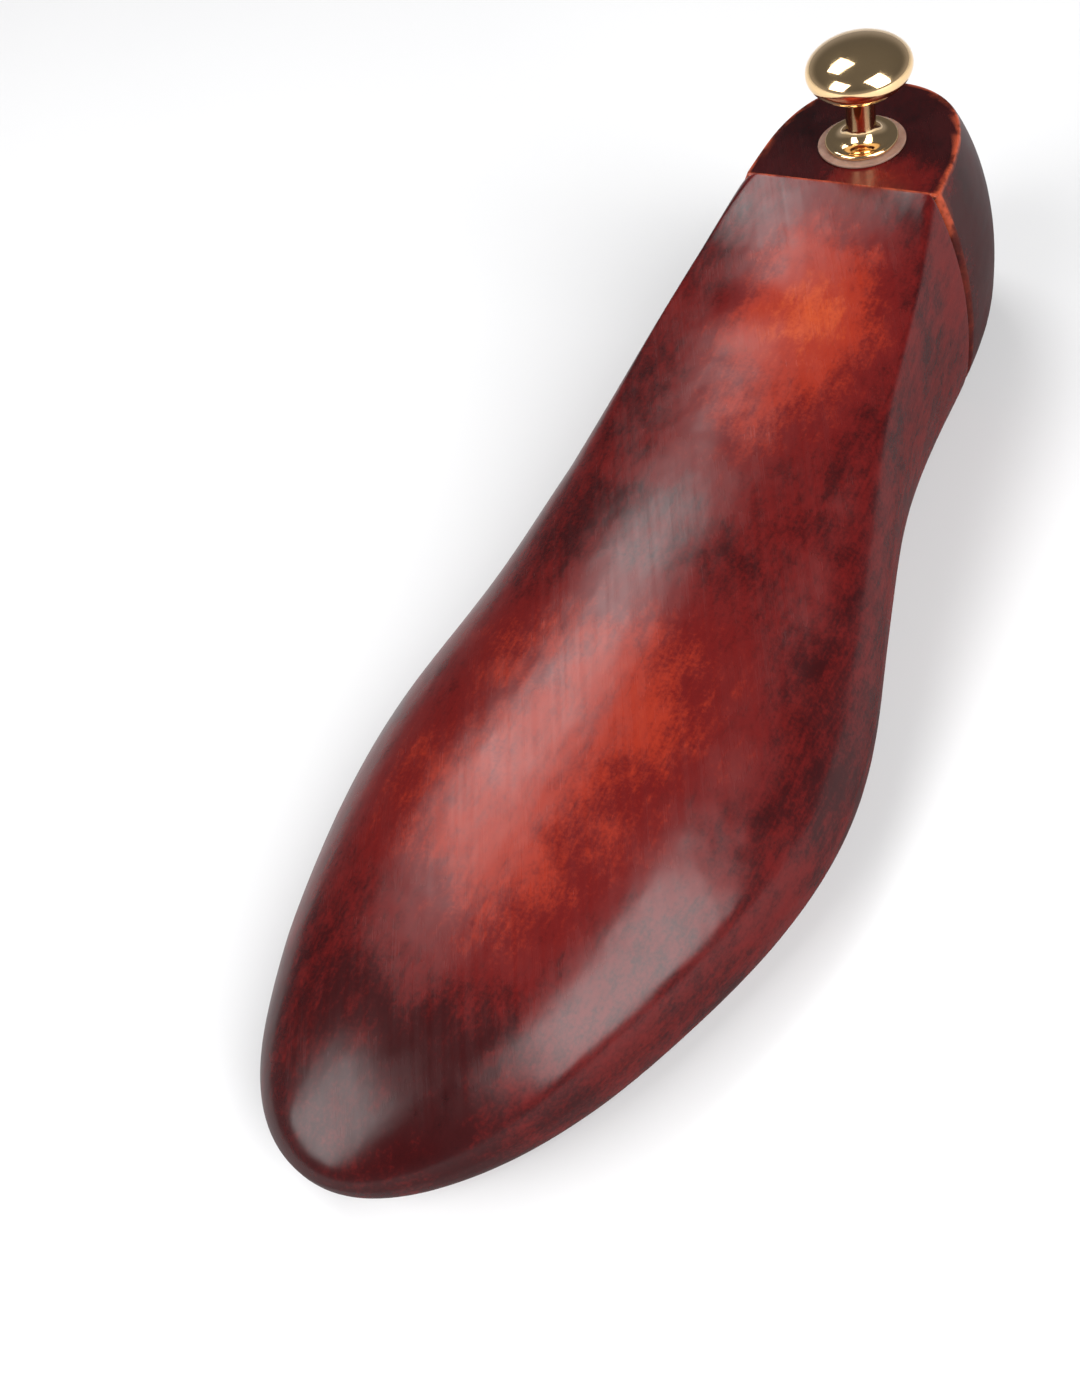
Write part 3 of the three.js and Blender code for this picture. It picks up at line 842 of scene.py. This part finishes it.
fore_wood = stained_wood("stained_wood", 0.36, FORE_PATCHES, DULL_PATCHES)
# The heel's material carries the painted sheen and painted shade of its patches.
heel_wood = stained_wood("dark_stained_wood", 0.22, HEEL_TONE_AND_PAINTED_LIGHT)
end_grain = end_grain_wood("end_grain_wood")
brass = metal("polished_brass", (0.95, 0.67, 0.36), (0.60, 0.37, 0.15), 0.08, "z", tarnish=0.12)
nickel = metal("nickel_steel", (0.66, 0.65, 0.63), (0.40, 0.39, 0.37), 0.14, "x")
bright_steel = metal("bright_steel", (0.56, 0.57, 0.58), (0.33, 0.33, 0.34), 0.20, "x")
spring_steel = metal("spring_steel", (0.30, 0.31, 0.33), (0.14, 0.12, 0.11), 0.30, tarnish=0.4)
leather = washer_leather("pale_leather")
nylon = white_nylon("nylon")


def dress(piece, material, cad_node):
    """Gives a piece its material, and puts it in the place of its CAD node."""
    if not piece.data.materials:
        piece.data.materials.append(material)
    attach(piece, BODY_OF[cad_node])
    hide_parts(cad_node)


# ---- wooden blocks ----

# How tightly the surface has to turn for wear to begin and to be full, in radians per millimetre.
FORE_WEAR = (1.0, 2.2)
HEEL_WEAR = (0.25, 0.60)
WEAR_REACH = 0.6  # millimetres over which the wear fades beside an edge
WEAR_STEPS = 8  # edges that the fading wear may cross
WORN_DEPTH = 5.0  # down to here below the top the wear is full; hands and shoes rub it most
FADED_DEPTH = 15.0
FADED_WEAR = 0.15
NARROW = 0.15  # faces closer together than this are taken to be this far apart
TINY_AREA = 1e-12  # square metres
FACE_TOLERANCE = 0.05
BORE_MARGIN = 0.5


def mark_wear(piece, start, full):
    """Writes a wear value at each vertex: high on tight edges, fading beside them.

    Slivers and the many-sided joint face don't show how tightly the surface turns, so they don't count.
    """
    mesh = bmesh.new()
    mesh.from_mesh(piece.data)
    turning = np.zeros(len(mesh.verts))
    for edge in mesh.edges:
        if len(edge.link_faces) != 2:
            continue
        one, other = edge.link_faces
        smaller = min(one.calc_area(), other.calc_area())
        most_sides = max(len(one.verts), len(other.verts))
        if smaller < TINY_AREA or most_sides > 4:
            continue
        across = (one.calc_center_median() - other.calc_center_median()).length / MM
        turn = one.normal.angle(other.normal, 0) / max(across, NARROW)
        for vertex in edge.verts:
            turning[vertex.index] = max(turning[vertex.index], turn)
    ends = np.array([[vertex.index for vertex in edge.verts] for edge in mesh.edges])
    length = np.array([edge.calc_length() for edge in mesh.edges]) / MM
    depth = HEEL_TOP - np.array([vertex.co.z for vertex in mesh.verts]) / MM
    mesh.free()
    wear = np.clip((turning - start) / (full - start), 0, 1)
    wear *= np.interp(depth, [WORN_DEPTH, FADED_DEPTH], [1, FADED_WEAR])
    for _ in range(WEAR_STEPS):
        faded = wear[ends] - (length / WEAR_REACH)[:, None]
        np.maximum.at(wear, ends[:, 0], faded[:, 1])
        np.maximum.at(wear, ends[:, 1], faded[:, 0])
    attribute = piece.data.attributes.new("wear", "FLOAT", "POINT")
    attribute.data.foreach_set("value", wear.astype(np.float32))


def paint(piece, wood, face, bore_end):
    """Polished wood outside; the joint face and the walls of the bores show end grain."""
    piece.data.materials.append(wood)
    piece.data.materials.append(end_grain)
    near, far = sorted((face, bore_end))
    for polygon in piece.data.polygons:
        centre = polygon.center / MM
        on_face = abs(centre.x - face) < FACE_TOLERANCE
        along = near - BORE_MARGIN < centre.x < far + BORE_MARGIN
        off_axis = min(math.hypot(centre.y - y, centre.z - ROD_Z) for y in ROD_Y.values())
        in_bore = along and off_axis < FLANGE_RADIUS + BORE_MARGIN
        polygon.material_index = 1 if on_face or in_bore else 0


def make_block(name, block, wood, face, bore, bore_end, wear):
    """A wooden block, worn, bored and painted. Its bores run from the joint face to bore_end."""
    piece = wood_block(name, block)
    mark_wear(piece, *wear)
    bore(piece)
    piece.data.set_sharp_from_angle(angle=SHARP_ANGLE)
    paint(piece, wood, face, bore_end)
    return piece


forepart = make_block("forepart_wood", "forepart", fore_wood, FRONT_FACE, bore_forepart, TUBE_HIGH[0],
                      FORE_WEAR)
dress(forepart, fore_wood, "forepart_block")
heel = make_block("heel_wood", "heel", heel_wood, BACK_FACE, bore_heel, ROD_LOW[0], HEEL_WEAR)
dress(heel, heel_wood, "heel_block")


# ---- slide units ----

SPIGOT_RADIUS = 2.0  # the rod's thin end, which holds its head
SHOULDER_GAP = 0.1  # between the rod's shoulder and its head
PIN_HOLE_REACH = 9.0  # half the length of the tool that cuts the pin's hole


def flanged(name, face, sign, length, barrel, bore, side):
    """A collar with its flange at the joint face; its barrel runs along x the way of sign."""
    under = face + sign * FLANGE_THICKNESS
    end = face + sign * length
    points = [(FLANGE_RADIUS, face), (FLANGE_RADIUS, under), (barrel, under), (barrel, end),
              (bore, end), (bore, face)]
    return turned(name, points, rod_line(side), closed=True, ease=0.2)


def ring(name, cad_node, outer, inner, side):
    """A plain ring round the rod, as long as its CAD node."""
    low, high = box_mm(cad_node)
    points = [(outer, low[0]), (outer, high[0]), (inner, high[0]), (inner, low[0])]
    return turned(name, points, rod_line(side), closed=True)


def rings_round_rod(side):
    """Tube, ferrule and bush in the forepart, and the collar in the heel block."""
    tube = ring(f"tube_{side}", f"sleeve_tube_{side}", TUBE_RADIUS, TUBE_BORE, side)
    dress(tube, nickel, f"sleeve_tube_{side}")
    ferrule = flanged(f"ferrule_{side}", FRONT_FACE, 1, FERRULE_LENGTH, FERRULE_BARREL,
                      TUBE_RADIUS + CLEAR, side)
    dress(ferrule, nickel, f"mouth_ferrule_{side}")
    bush = ring(f"bush_{side}", f"guide_bush_{side}", TUBE_BORE - CLEAR, ROD_RADIUS + CLEAR, side)
    dress(bush, nylon, f"guide_bush_{side}")
    collar = flanged(f"collar_{side}", BACK_FACE, -1, COLLAR_LENGTH, COLLAR_BARREL,
                     ROD_RADIUS + CLEAR, side)
    dress(collar, nickel, f"rod_collar_{side}")


def end_plug(side):
    """The seat of the spring, at the front end of the tube."""
    low, high = box_mm(f"end_plug_{side}")
    points = plain_rod(TUBE_BORE - CLEAR, low[0], high[0])
    plug = turned(f"plug_{side}", points, rod_line(side), ease=0.4)
    dress(plug, nylon, f"end_plug_{side}")


def plunger(side):
    """The rod with its cross hole, and the head on its spigot."""
    head_low, head_high = box_mm(f"plunger_head_{side}")
    shoulder = head_low[0] - SHOULDER_GAP
    rod = turned(f"rod_{side}", [
        (0, ROD_LOW[0]), (ROD_RADIUS, ROD_LOW[0]), (ROD_RADIUS, shoulder), (SPIGOT_RADIUS, shoulder),
        (SPIGOT_RADIUS, ROD_HIGH[0]), (0, ROD_HIGH[0])], rod_line(side), ease=0.25)
    hole = plain_rod(PIN_RADIUS + CLEAR, -PIN_HOLE_REACH, PIN_HOLE_REACH)
    cut(rod, [turned("tool", hole, (PIN_X, ROD_Y[side], ROD_Z), axis="z", ease=0)])
    rod.data.set_sharp_from_angle(angle=SHARP_ANGLE)
    dress(rod, bright_steel, f"plunger_rod_{side}")

    outer, bore, bore_end = TUBE_BORE - CLEAR, SPIGOT_RADIUS + CLEAR, ROD_HIGH[0] + CLEAR
    head = turned(f"head_{side}", [
        (bore, head_low[0]), (outer, head_low[0]), (outer, head_high[0]), (0, head_high[0]),
        (0, bore_end), (bore, bore_end)], rod_line(side), closed=True, ease=0.4)
    dress(head, bright_steel, f"plunger_head_{side}")


def cross_pin(side):
    """The upright pin that holds the rod in the heel block."""
    low, high = box_mm(f"cross_pin_{side}")
    pin = turned(f"pin_{side}", plain_rod(PIN_RADIUS, low[2], high[2]), (PIN_X, ROD_Y[side], 0),
                 axis="z", ease=0.3, segments=32)
    dress(pin, bright_steel, f"cross_pin_{side}")


SPRING_TURNS = 10
CLOSED_TURNS = 0.9  # turns at each end that lie close together
CLOSED_PITCH = 1.15
WIRE_RADIUS = 0.5
TURN_STEPS = 28  # steps of the mesh in one turn
WIRE_SIDES = 10


def spring(side):
    """A compression spring, made as a fixed coil in the place of its CAD node."""
    low, high = box_mm(f"spring_{side}")
    y = ROD_Y[side]
    radius = (high[2] - low[2]) / 2 - WIRE_RADIUS
    start, end = low[0] + WIRE_RADIUS, high[0] - WIRE_RADIUS
    closed = CLOSED_TURNS * CLOSED_PITCH
    turn_marks = [0, CLOSED_TURNS, SPRING_TURNS - CLOSED_TURNS, SPRING_TURNS]
    place_marks = [start, start + closed, end - closed, end]
    mesh = bmesh.new()
    rings = []
    for turn in np.linspace(0, SPRING_TURNS, SPRING_TURNS * TURN_STEPS + 1):
        along = np.interp(turn, turn_marks, place_marks)
        out = Vector((0, math.cos(2 * math.pi * turn), math.sin(2 * math.pi * turn)))
        centre = Vector((along, y, ROD_Z)) + out * radius
        wire = []
        for k in range(WIRE_SIDES):
            angle = 2 * math.pi * k / WIRE_SIDES
            offset = out * math.cos(angle) + Vector((math.sin(angle), 0, 0))
            wire.append(mesh.verts.new((centre + offset * WIRE_RADIUS) * MM))
        rings.append(wire)
    skin(mesh, rings, closed=True)
    mesh.faces.new(rings[0])
    mesh.faces.new(rings[-1])
    shade_smooth(mesh)
    coil = finish_mesh(f"coil_{side}", mesh)
    coil.data.materials.append(spring_steel)
    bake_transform(coil)
    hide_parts(f"spring_{side}")


for side in SIDES:
    rings_round_rod(side)
    end_plug(side)
    plunger(side)
    cross_pin(side)
    spring(side)


# ---- knob ----

KNOB_LOW, KNOB_HIGH = box_mm("knob")
STUD_LOW, STUD_HIGH = box_mm("knob_stud")
STUD_RADIUS = (STUD_HIGH[0] - STUD_LOW[0]) / 2
STUD_BORE = STUD_RADIUS + CLEAR

# Heights on the knob are above its base.
HEAD_RADIUS = (KNOB_HIGH[0] - KNOB_LOW[0]) / 2
HEAD_HEIGHT = 17.8  # where the head is widest
HEAD_BELOW = 6.0  # depth of the head's underside
HEAD_ABOVE = KNOB_HIGH[2] - KNOB_LOW[2] - HEAD_HEIGHT
STUD_DEPTH = 9.0  # depth of the hole for the stud
FOOT_RADIUS = 8.2
FOOT_FLAT = 7.0  # radius of the flat that the foot stands on
BEAD_RADIUS = 0.6  # of the rounded rim of the foot
BEAD_GROOVE = 0.55  # how far in from the bead's centre the flare starts
FLARE_DROP = 0.12  # and how far below the bead's top
NECK_RADIUS = 3.3
NECK_BOTTOM = 4.6
NECK_FILLET = 0.9  # where the neck runs into the head
BEAD_POINTS = 13
FLARE_POINTS = 18
FILLET_POINTS = 8
HEAD_POINTS = 44


def knob_profile():
    """Half section of the knob: beaded foot, trumpet flare, neck and flattened ball."""
    quarter = np.pi / 2
    points = [(0, STUD_DEPTH), (STUD_BORE, STUD_DEPTH), (STUD_BORE, 0.0), (FOOT_FLAT, 0.0)]
    bead_centre = FOOT_RADIUS - BEAD_RADIUS
    for angle in np.linspace(-quarter, quarter, BEAD_POINTS):
        points.append((bead_centre + BEAD_RADIUS * math.cos(angle), BEAD_RADIUS * (1 + math.sin(angle))))
    flare = bead_centre - BEAD_GROOVE
    bead_top = 2 * BEAD_RADIUS
    for t in np.linspace(0, quarter, FLARE_POINTS):
        radius = NECK_RADIUS + (flare - NECK_RADIUS) * (1 - math.sin(t))
        rise = (NECK_BOTTOM - bead_top) * (1 - math.cos(t))
        points.append((radius, bead_top - FLARE_DROP + rise))
    join = math.acos((NECK_RADIUS + NECK_FILLET) / HEAD_RADIUS)
    join_height = HEAD_HEIGHT - HEAD_BELOW * math.sin(join)
    for t in np.linspace(0, quarter, FILLET_POINTS):
        fillet = NECK_FILLET * (1 - math.cos(t))
        points.append((NECK_RADIUS + fillet, join_height - NECK_FILLET * (1 - math.sin(t))))
    for angle in np.linspace(-join, quarter, HEAD_POINTS)[1:-1]:
        depth = HEAD_BELOW if angle < 0 else HEAD_ABOVE
        points.append((HEAD_RADIUS * math.cos(angle), HEAD_HEIGHT + depth * math.sin(angle)))
    points.append((0, HEAD_HEIGHT + HEAD_ABOVE))
    return [(radius, KNOB_LOW[2] + height) for radius, height in points]


def brass_knob():
    """The knob, turned from one piece."""
    knob = turned("brass_knob", knob_profile(), (0, 0, 0), axis="z", ease=0, segments=128)
    dress(knob, brass, "knob")


def knob_washer():
    """The leather ring under the knob's foot."""
    low, high = box_mm("knob_washer")
    points = [(high[0], low[2]), (high[0], high[2]), (STUD_BORE, high[2]), (STUD_BORE, low[2])]
    washer = turned("leather_washer", points, (0, 0, 0), axis="z", closed=True, ease=0.28, segments=96)
    dress(washer, leather, "knob_washer")


STUD_PITCH = 0.8
STUD_ROOT = STUD_RADIUS - 0.42
STUD_LEAD = 0.4  # plain length in front of the thread
STUD_FLANK = 0.35  # from a thread's root to where its flat top begins
STUD_LAND = 0.15  # flat top of a thread
STUD_PLAIN = 1.0  # length left without a thread


def knob_stud():
    """The threaded stud; its thread is a row of rings."""
    points = [(0, STUD_LOW[2]), (STUD_ROOT, STUD_LOW[2])]
    count = int((STUD_HIGH[2] - STUD_LOW[2] - STUD_PLAIN) / STUD_PITCH)
    for i in range(count):
        start = STUD_LOW[2] + STUD_LEAD + i * STUD_PITCH
        top = start + STUD_FLANK
        points += [(STUD_ROOT, start), (STUD_RADIUS, top), (STUD_RADIUS, top + STUD_LAND)]
    points += [(STUD_ROOT, STUD_HIGH[2]), (0, STUD_HIGH[2])]
    stud = turned("stud", points, (0, 0, 0), axis="z", ease=0, segments=40)
    dress(stud, bright_steel, "knob_stud")


INSERT_PITCH = 3.0
INSERT_ROOT = INSERT_RADIUS - 0.8
INSERT_THREAD = [(INSERT_ROOT, 0.4), (INSERT_RADIUS, 1.3), (INSERT_RADIUS, 1.6), (INSERT_ROOT, 2.5)]
INSERT_RIM = [(INSERT_ROOT, -1.2), (INSERT_RADIUS, -1.0), (INSERT_RADIUS, 0)]


def knob_insert():
    """The threaded insert sunk in the heel block; its coarse thread is a row of rings."""
    bottom, top = INSERT_LOW[2], INSERT_HIGH[2]
    points = [(STUD_BORE, bottom), (INSERT_ROOT, bottom)]
    for i in range(int((top - bottom) / INSERT_PITCH)):
        start = bottom + i * INSERT_PITCH
        points += [(radius, start + height) for radius, height in INSERT_THREAD]
    points += [(radius, top + height) for radius, height in INSERT_RIM]
    points.append((STUD_BORE, top))
    insert = turned("insert", points, (0, 0, 0), axis="z", closed=True, ease=0.1, segments=48)
    dress(insert, brass, "knob_insert")


brass_knob()
knob_washer()
knob_stud()
knob_insert()


# ---- stage, light and camera ----

TREE_CENTRE = (0.1, 0, 0.04)
FLOOR_REACH = 20  # metres to each side of the tree
FLOOR_GAP = 0.0002  # between the tree and the floor
FLOOR_PALE_FROM = 0.5  # metres from the tree where the floor begins to glow
FLOOR_PALE_FULL = 2.0
FLOOR_GLOW = 0.5
SKY = [
    (0.0, (0.50, 0.50, 0.52)),
    (0.15, (0.30, 0.30, 0.32)),
    (0.5, (0.12, 0.12, 0.125)),
    (1.0, (0.14, 0.14, 0.145)),
]


def pale_floor():
    """A plain floor that stays pale where the lamps no longer reach it."""
    mesh = bmesh.new()
    bmesh.ops.create_grid(mesh, x_segments=2, y_segments=2, size=FLOOR_REACH)
    floor = finish_mesh("floor", mesh)
    floor.location = (TREE_CENTRE[0], TREE_CENTRE[1], -FLOOR_GAP)
    material, tree, surface = new_material("pale_floor")
    cloud = noise(tree, place_mm(tree), 0.01, 2)
    away = vector_length(tree, node(tree, "ShaderNodeTexCoord").outputs["Object"])
    far_glow = mapped(tree, away, FLOOR_PALE_FROM, FLOOR_PALE_FULL, 0.0, FLOOR_GLOW)
    feed(tree, surface, Base_Color=mixed(tree, cloud, (0.72, 0.72, 0.72), (0.70, 0.70, 0.705)),
         Roughness=0.6, Specular_IOR_Level=0.2, Emission_Color=(1, 1, 1, 1),
         Emission_Strength=far_glow)
    floor.data.materials.append(material)


def softbox(name, place, size, power):
    """A white rectangular lamp that faces the tree; place and size in metres, power in watts."""
    data = bpy.data.lights.new(name, "AREA")
    data.shape = "RECTANGLE"
    data.size, data.size_y = size
    data.energy = power
    light = new_object(name, data)
    light.location = place
    light.rotation_euler = (Vector(TREE_CENTRE) - Vector(place)).to_track_quat("-Z", "Y").to_euler()


def sky():
    """Grey surroundings, palest at the horizon."""
    world = bpy.data.worlds.new("studio")
    world.use_nodes = True
    tree = world.node_tree
    background = tree.nodes["Background"]
    height = upward_part(tree, node(tree, "ShaderNodeTexCoord").outputs["Generated"])
    shade = ramp(tree, mapped(tree, height, -0.1, 1.0, 0, 1, "LINEAR"), SKY)
    tree.links.new(shade, background.inputs["Color"])
    bpy.context.scene.world = world


CAMERA_AZIMUTH = math.radians(42.8)  # from +x towards +y
CAMERA_ELEVATION = math.radians(51.5)
CAMERA_ROLL = math.radians(-19.4)
CAMERA_TARGET = Vector((0.150, -0.012, 0.034))
CAMERA_DISTANCE = 0.29
CAMERA_LENS = 38.0  # millimetres, as is the sensor's width
SENSOR_WIDTH = 36.0
NEAREST_SEEN = 0.01


def camera():
    """The camera: above the toe on the outer side, looking back along the tree."""
    data = bpy.data.cameras.new("camera")
    data.lens = CAMERA_LENS
    data.sensor_width = SENSOR_WIDTH
    data.clip_start = NEAREST_SEEN
    level = math.cos(CAMERA_ELEVATION)
    back = Vector((level * math.cos(CAMERA_AZIMUTH), level * math.sin(CAMERA_AZIMUTH),
                   math.sin(CAMERA_ELEVATION)))
    turn = (-back).to_track_quat("-Z", "Y").to_matrix().to_4x4()
    roll = Matrix.Rotation(CAMERA_ROLL, 4, "Z")
    made = new_object("camera", data)
    made.matrix_world = Matrix.Translation(CAMERA_TARGET + back * CAMERA_DISTANCE) @ turn @ roll
    bpy.context.scene.camera = made


pale_floor()
sky()
softbox("key_box", (0.35, 0.95, 0.85), (0.75, 1.3), 24.5)
softbox("fill_box", (0.85, -0.45, 0.75), (0.65, 0.8), 10.5)
softbox("back_box", (-0.265, -0.565, 1.17), (0.58, 0.42), 6.4)
camera()
bpy.context.scene.view_settings.view_transform = "Standard"
